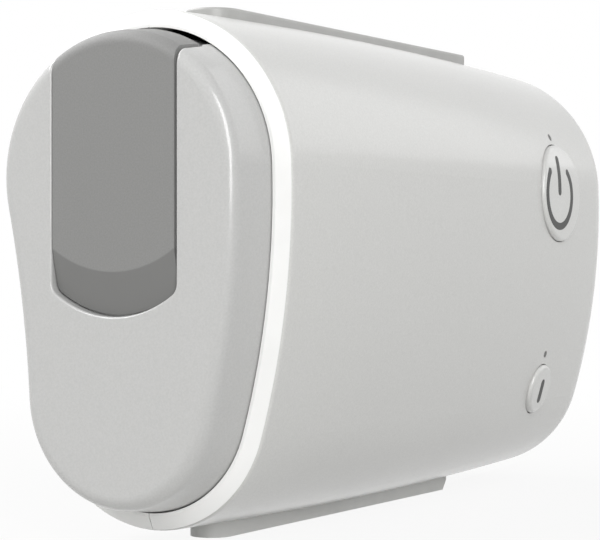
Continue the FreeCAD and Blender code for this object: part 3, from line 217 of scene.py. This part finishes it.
def fibre_pad():
    """Melt-blown polypropylene fibre: white, with crossing strands."""
    made, tree, shader, place = new_material("polypropylene_fibre")
    strand = add(tree, "ShaderNodeTexNoise", {"Vector": place, "Scale": per(0.8), "Detail": 8.0,
                                              "Roughness": 0.8, "Distortion": 3.0})
    blend_of(tree, shader, strand.outputs[0], "C9CDD2", "F1F3F5")
    grain(tree, shader, strand.outputs[0], 0.15)
    shader.inputs["Roughness"].default_value = 0.95
    shader.inputs["Sheen Weight"].default_value = 0.4
    return made


def open_foam():
    """Reticulated polyurethane foam: black cells with pale edges."""
    made, tree, shader, place = new_material("polyurethane_foam")
    cells = add(tree, "ShaderNodeTexVoronoi", {"Vector": place, "Scale": per(1.1)},
                feature="DISTANCE_TO_EDGE")
    blend_of(tree, shader, cells.outputs[0], "3C3D3F", "131315", 0.0, 0.25)
    grain(tree, shader, cells.outputs[0], 0.5)
    shader.inputs["Roughness"].default_value = 0.95
    return made


def solder_mask():
    """Green solder mask over copper tracks: tracks stand proud as lighter lines."""
    made, tree, shader, place = new_material("glass_epoxy_green")
    lanes = add(tree, "ShaderNodeTexBrick", {"Vector": place, "Scale": per(5), "Mortar Size": 0.06,
                                             "Brick Width": 1.7, "Row Height": 0.35})
    blend_of(tree, shader, lanes.outputs["Fac"], "0B4A2A", "1C6B3E", 0.0, 1.0)
    grain(tree, shader, lanes.outputs["Fac"], 0.03)
    shader.inputs["Roughness"].default_value = 0.3
    return made


def metal(name, dark, light, rough, stretch=(1, 1, 1), cell=0.25):
    """Bare metal: its tool marks are noise, stretch times as fine along each axis."""
    made, tree, shader, place = new_material(name)
    drawn = add(tree, "ShaderNodeMapping", {"Vector": place, "Scale": stretch})
    marks = add(tree, "ShaderNodeTexNoise", {"Vector": drawn.outputs[0], "Scale": per(cell),
                                             "Detail": 4.0})
    blend_of(tree, shader, marks.outputs[0], dark, light)
    roughness(tree, shader, marks.outputs[0], rough)
    grain(tree, shader, marks.outputs[0], 0.004)
    shader.inputs["Metallic"].default_value = 1.0
    return made


WAVE_TURN = 20                # radians of a Wave texture in one unit of its scaled coordinates


def layered_metal(name, dark, light, pitch, rough):
    """Stacked sheets or wound wire: light and dark bands along X, each one pitch wide."""
    made, tree, shader, place = new_material(name)
    bands = add(tree, "ShaderNodeTexWave", {"Vector": place, "Distortion": 0.4, "Detail": 1.0,
                                            "Scale": per(pitch) / WAVE_TURN * math.pi},
                bands_direction="X")
    blend_of(tree, shader, bands.outputs["Fac"], dark, light, 0.1, 0.9)
    roughness(tree, shader, bands.outputs["Fac"], rough)
    grain(tree, shader, bands.outputs["Fac"], pitch / 6)
    shader.inputs["Metallic"].default_value = 1.0
    return made


def silicone():
    """Platinum-cured silicone: milky, with a soft wet sheen."""
    made, tree, shader, place = new_material("silicone_cured")
    milk = add(tree, "ShaderNodeTexNoise", {"Vector": place, "Scale": per(3), "Detail": 3.0})
    blend_of(tree, shader, milk.outputs[0], "D3D6D8", "E2E4E5")
    roughness(tree, shader, milk.outputs[0], (0.38, 0.5))
    shader.inputs["Subsurface Weight"].default_value = 0.3
    shader.inputs["Subsurface Radius"].default_value = (2 * MM, 2 * MM, 2 * MM)
    shader.inputs["IOR"].default_value = 1.41
    return made


FINISHES = {
    "shell": painted_abs("abs_silver_shell", "C7C7C5", "CFCFCD"),
    "cap": painted_abs("abs_silver_cap", "B3B3B2", "BABAB9", lacquer=0.9, haze=0.17),
    "button": painted_abs("abs_silver_button", "CACAC8", "D2D2D0", paint=(0.38, 0.47),
                          lacquer=1.0, haze=0.12),
    "rim": gloss_white(),
    "door": grey_abs(),
    "rail": soft_touch("elastomer_grip", "A6A6A4", "AEAEAC"),
    "lamp": smoked_lens(),
    "led": clear_epoxy(),
    "filter": fibre_pad(),
    "foam": open_foam(),
    "inner_plastic": plain_moulding("polypropylene_natural", "B4B4B0", "C2C2BE", (0.4, 0.55)),
    "switch": plain_moulding("nylon_black", "161617", "202022", (0.35, 0.5)),
    "board": solder_mask(),
    "chips": plain_moulding("epoxy_moulding_black", "1A1A1B", "242425", (0.5, 0.65), cell=0.2),
    "outlet": plain_moulding("abs_charcoal", "48484A", "515153", (0.42, 0.55), cell=0.3),
    "contact": metal("gold_plate", "C9A24B", "DDB963", (0.18, 0.3)),
    "silicone": silicone(),
    "steel": metal("steel_turned", "A9ABAE", "BFC1C3", (0.2, 0.35), stretch=(6, 1, 1)),
    "magnet": metal("magnet_ground", "75777A", "86888B", (0.3, 0.45), cell=0.5),
    "lamination": layered_metal("electrical_steel_stack", "6A6D72", "93969B", 0.5, (0.3, 0.5)),
    "copper": layered_metal("copper_enamelled", "8E4A22", "C8743A", 0.4, (0.2, 0.4)),
}

for subpart in frame["record"]["subparts"]:
    solid = frame["nodes"][subpart["node"]]
    solid.material_slots[0].material = FINISHES[subpart["material_slot"]]

# the strip that the machine stands on takes a paler copy of the grip elastomer: painted light,
# which lifts the shade under the machine
FOOT_PAINTED_LIGHT = soft_touch("elastomer_grip_painted_light", "DCDCDA", "E2E2E0")
frame["nodes"]["bottom_rail"].material_slots[0].material = FOOT_PAINTED_LIGHT


# --- marks on the buttons ----------------------------------------------------------------

MARK_PROUD = 0.04 * MM        # the print's thickness over the button
MARK_ROOT = 0.12 * MM         # how far its edges reach into the button
MARK_TIP = 0.02 * MM          # half the width left at the very end of a line
MARK_FLAT = 0.85              # share of the width that is flat between the bevels
MARK_STEPS = 97               # points along a line
FACE_STEPS = 61               # rays each way over a button
RAY_START = 0.1               # metres in front of the origin, outside the machine

# the squares that the rays cover: x and z of the middle, and half the side
START_SQUARE = (38.2 * MM, 56.7 * MM, 7.6 * MM)
LINK_SQUARE = (40.0 * MM, 19.6 * MM, 3.4 * MM)

# the lines of the marks, in millimetres: widths, a radius, and points as (x, z)
ARC_WIDTH = 1.35
BAR_WIDTH = 1.5
ARC_MIDDLE = (38.1, 56.4)
ARC_RADIUS = 6.0
ARC_TURN = (128, 412)         # degrees from +X towards +Z, so that it is open at the top
POWER_BAR = ((38.1, 56.2), (38.1, 63.7))
LINK_BAR = ((40.0, 16.9), (40.0, 21.4))


def printed_ink():
    """Grey epoxy ink, pad printed: dull, with an uneven thickness."""
    made, tree, shader, place = new_material("epoxy_ink_grey")
    film = add(tree, "ShaderNodeTexNoise", {"Vector": place, "Scale": per(0.5), "Detail": 3.0})
    blend_of(tree, shader, film.outputs[0], "333332", "3D3D3C")
    roughness(tree, shader, film.outputs[0], (0.4, 0.55))
    grain(tree, shader, film.outputs[0], 0.01)
    return made


INK = printed_ink()


def face_of(node, x, z, reach):
    """The button's face near (x, z) as a function y(x, z).

    Rays along +Y find it on a square grid, whose corners lie off the face, where no mark goes.
    Between four grid points, at shares u and w of the way, it is
    (1-w)((1-u) a + u b) + w ((1-u) c + u d).
    """
    button = frame["nodes"][node]
    ticks = np.linspace(-reach, reach, FACE_STEPS)

    def hit(at_x, at_z):
        _, place, _, _ = button.ray_cast((at_x, -RAY_START, at_z), (0, 1, 0))
        return place.y

    grid = np.array([[hit(x + u, z + w) for u in ticks] for w in ticks])

    def height(at_x, at_z):
        u, w = ((at - start + reach) / (2 * reach) * (FACE_STEPS - 1)
                for at, start in ((at_x, x), (at_z, z)))
        column, row = (np.clip(at.astype(int), 0, FACE_STEPS - 2) for at in (u, w))
        u, w = u - column, w - row
        low = (1 - u) * grid[row, column] + u * grid[row, column + 1]
        high = (1 - u) * grid[row + 1, column] + u * grid[row + 1, column + 1]
        return (1 - w) * low + w * high

    return height


def round_path(middle, radius, first, last):
    """Path at middle + radius (cos t, sin t), for t from the first to the last angle."""
    turn = np.radians(np.linspace(first, last, MARK_STEPS))
    return (middle + radius * np.stack([np.cos(turn), np.sin(turn)], axis=1)) * MM


def straight_path(low, high):
    """Path at (1-s) low + s high, for s from 0 to 1."""
    rise = np.linspace(0, 1, MARK_STEPS)[:, None]
    return ((1 - rise) * low + rise * high) * MM


def stroke(name, path, width, face):
    """Printed line along a path of (x, z) on a face, with round ends.

    At distance s from an end, within half the width h, it is 2 sqrt(h^2 - (h - s)^2) wide.
    Its section is a flat top, two bevels and two sides that reach into the face.
    """
    ahead = np.gradient(path, axis=0)
    ahead /= np.linalg.norm(ahead, axis=1, keepdims=True)
    side = np.stack([-ahead[:, 1], ahead[:, 0]], axis=1)
    run = np.concatenate([[0], np.cumsum(np.linalg.norm(np.diff(path, axis=0), axis=1))])
    half = width / 2
    from_end = np.minimum(np.minimum(run, run[-1] - run), half)
    reach = np.sqrt(np.maximum(half ** 2 - (half - from_end) ** 2, MARK_TIP ** 2))
    across = np.array([-1.0, -1.0, -MARK_FLAT, MARK_FLAT, 1.0, 1.0])
    proud = np.array([-MARK_ROOT, MARK_PROUD / 2, MARK_PROUD, MARK_PROUD, MARK_PROUD / 2,
                      -MARK_ROOT])
    flat = path[:, None, :] + side[:, None, :] * (across * reach[:, None])[..., None]
    y = face(flat[..., 0], flat[..., 1]) - proud
    points = np.stack([flat[..., 0], y, flat[..., 1]], axis=-1)
    steps, ring = points.shape[:2]
    index = np.arange(steps * ring).reshape(steps, ring)
    after = np.roll(index, -1, axis=1)
    quads = np.stack([index[:-1], after[:-1], after[1:], index[1:]], axis=-1).reshape(-1, 4)
    faces = quads.tolist() + [index[0][::-1].tolist(), index[-1].tolist()]
    mesh = bpy.data.meshes.new(name)
    mesh.from_pydata(points.reshape(-1, 3).tolist(), [], faces)
    mesh.materials.append(INK)
    piece = bpy.data.objects.new(name, mesh)
    bpy.context.collection.objects.link(piece)
    return piece


start_face = face_of("start_button", *START_SQUARE)
link_face = face_of("link_button", *LINK_SQUARE)
arc = round_path(ARC_MIDDLE, ARC_RADIUS, *ARC_TURN)
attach(stroke("power_mark_arc", arc, ARC_WIDTH * MM, start_face), "start_button")
bar = straight_path(*POWER_BAR)
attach(stroke("power_mark_bar", bar, BAR_WIDTH * MM, start_face), "start_button")
bar = straight_path(*LINK_BAR)
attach(stroke("link_mark_bar", bar, BAR_WIDTH * MM, link_face), "link_button")


# --- stage, light and camera -------------------------------------------------------------

FLOOR_HALF = 6.0              # metres from its middle to each side
FLOOR_SHADE = 0.09            # share of its look that takes light and shadow, at its middle
FLOOR_FADE = 0.35             # metres from the middle at which that share has gone
PAPER = "C8C8C6"              # its colour in that share, and as it lights the machine

AMBIENT = 0.22                # strength of the light from all round, where white is 1
LIGHTS = (                    # name, place, size (wide, high) in metres, watts
    ("behind_high", (0.1, 0.7, 0.8), (0.7, 0.5), 5.5),
    ("behind_near", (-0.5, 0.5, 0.7), (0.5, 0.4), 4.5),
    ("beside_camera", (-0.72, -0.62, 0.42), (0.35, 0.75), 7.2),
    ("far_front", (0.7, -0.6, 0.6), (1.0, 0.8), 2.0),
)
AIM = Vector((0.0, 0.0, 0.045))     # point inside the machine that every lamp faces

CAMERA_PLACE = (-0.30565, -0.17326, 0.04354)
CAMERA_TURN = 30.67           # degrees of the view to the left of +X
CAMERA_PITCH = -0.207         # degrees, up is more
CAMERA_LENS = 118.23          # millimetres
CAMERA_SENSOR = 36            # millimetres wide
CAMERA_CLIP = (0.01, 50)      # metres, nearest and farthest that it sees


def white_share(tree, ray, camera):
    """1 for a ray in gloss or through glass, and otherwise the camera socket's value."""
    gloss = add(tree, "ShaderNodeMath", {0: camera, 1: ray.outputs["Is Glossy Ray"]},
                operation="MAXIMUM")
    glass = add(tree, "ShaderNodeMath", {0: gloss.outputs[0],
                                         1: ray.outputs["Is Transmission Ray"]},
                operation="MAXIMUM")
    return glass.outputs[0]


def make_floor():
    """Pale flat floor: white to the camera, yet darker where the machine shades it."""
    corners = FLOOR_HALF * np.array([[-1, -1, 0], [1, -1, 0], [1, 1, 0], [-1, 1, 0]])
    mesh = bpy.data.meshes.new("floor")
    mesh.from_pydata(corners.tolist(), [], [(0, 1, 2, 3)])
    floor = bpy.data.objects.new("floor", mesh)
    bpy.context.collection.objects.link(floor)
    made = bpy.data.materials.new("backdrop_paper")
    made.use_nodes = True
    tree = made.node_tree
    tree.nodes.clear()
    paper = add(tree, "ShaderNodeBsdfDiffuse", {"Color": linear(PAPER)})
    glow = add(tree, "ShaderNodeEmission", {"Color": (1, 1, 1, 1), "Strength": 1.0})
    place = add(tree, "ShaderNodeTexCoord").outputs["Object"]
    away = add(tree, "ShaderNodeVectorMath", {0: place}, operation="LENGTH")
    share = add(tree, "ShaderNodeMapRange", {"Value": away.outputs["Value"], "From Min": 0.0,
                                             "From Max": FLOOR_FADE, "To Min": 1 - FLOOR_SHADE,
                                             "To Max": 1.0}, interpolation_type="SMOOTHSTEP")
    ray = add(tree, "ShaderNodeLightPath")
    seen = add(tree, "ShaderNodeMath", {0: ray.outputs["Is Camera Ray"], 1: share.outputs[0]},
               operation="MULTIPLY")
    white = white_share(tree, ray, seen.outputs[0])
    mix = add(tree, "ShaderNodeMixShader", {0: white, 1: paper.outputs[0], 2: glow.outputs[0]})
    add(tree, "ShaderNodeOutputMaterial", {"Surface": mix.outputs[0]})
    mesh.materials.append(made)


def make_world():
    """White to the camera and in reflections; an even soft light otherwise."""
    world = bpy.data.worlds.new("studio")
    bpy.context.scene.world = world
    world.use_nodes = True
    tree = world.node_tree
    tree.nodes.clear()
    ray = add(tree, "ShaderNodeLightPath")
    white = white_share(tree, ray, ray.outputs["Is Camera Ray"])
    level = add(tree, "ShaderNodeMapRange", {"Value": white, "To Min": AMBIENT, "To Max": 1.0})
    sky = add(tree, "ShaderNodeBackground", {"Color": (1, 1, 1, 1), "Strength": level.outputs[0]})
    add(tree, "ShaderNodeOutputWorld", {"Surface": sky.outputs[0]})


def make_lights():
    """Soft boxes, each turned to face the machine."""
    for name, place, size, power in LIGHTS:
        lamp = bpy.data.lights.new(name, "AREA")
        lamp.shape = "RECTANGLE"
        lamp.size, lamp.size_y = size
        lamp.energy = power
        light = bpy.data.objects.new(name, lamp)
        bpy.context.collection.objects.link(light)
        light.location = place
        light.rotation_euler = (AIM - Vector(place)).to_track_quat("-Z", "Y").to_euler()


def make_camera():
    """Camera near the end cap, level with the machine's middle."""
    lens = bpy.data.cameras.new("camera")
    lens.lens = CAMERA_LENS
    lens.sensor_width = CAMERA_SENSOR
    lens.clip_start, lens.clip_end = CAMERA_CLIP
    camera = bpy.data.objects.new("camera", lens)
    bpy.context.collection.objects.link(camera)
    camera.location = CAMERA_PLACE
    turn, pitch = math.radians(CAMERA_TURN), math.radians(CAMERA_PITCH)
    ahead = Vector((math.cos(turn) * math.cos(pitch), math.sin(turn) * math.cos(pitch),
                    math.sin(pitch)))
    camera.rotation_euler = ahead.to_track_quat("-Z", "Y").to_euler()
    bpy.context.scene.camera = camera


make_floor()
make_world()
make_lights()
make_camera()
bpy.context.scene.view_settings.view_transform = "Standard"
